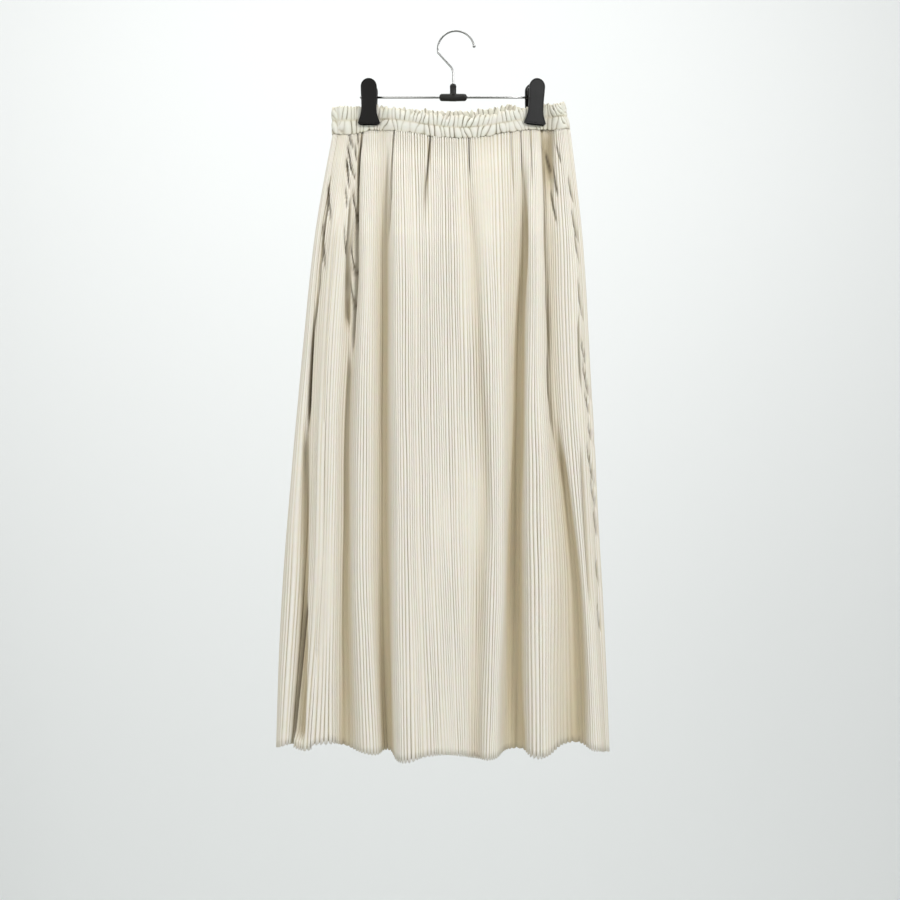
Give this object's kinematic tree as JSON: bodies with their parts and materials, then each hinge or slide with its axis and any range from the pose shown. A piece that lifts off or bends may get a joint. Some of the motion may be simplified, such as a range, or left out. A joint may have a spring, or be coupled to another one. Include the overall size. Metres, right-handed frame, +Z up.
{
  "type": "maxi skirt on clip hanger",
  "caption": "Long cream accordion-pleated skirt with a gathered elastic waistband, hung flat from a black clip hanger with a steel bar and wire hook.",
  "frame": {"origin": "inner crown of the hanger's hook, where a rod or wall hook carries it", "axes": "+Z up, +X to the viewer's right, -Y out of the front of the skirt"},
  "size_m": [0.4641, 0.0816, 0.9997],
  "materials": {
    "cream_cloth": "matte",
    "polished_steel": "polished",
    "black_plastic": "satin"
  },
  "bodies": {
    "root": {"skirt_front": "cream_cloth", "skirt_back": "cream_cloth", "waistband_front": "cream_cloth", "waistband_back": "cream_cloth", "hook": "polished_steel", "bar": "polished_steel", "centre_tee": "black_plastic", "clip_left_front_jaw": "black_plastic", "clip_left_rear_jaw": "black_plastic", "clip_left_spring": "polished_steel", "clip_right_front_jaw": "black_plastic", "clip_right_rear_jaw": "black_plastic", "clip_right_spring": "polished_steel"}
  },
  "joints": []
}
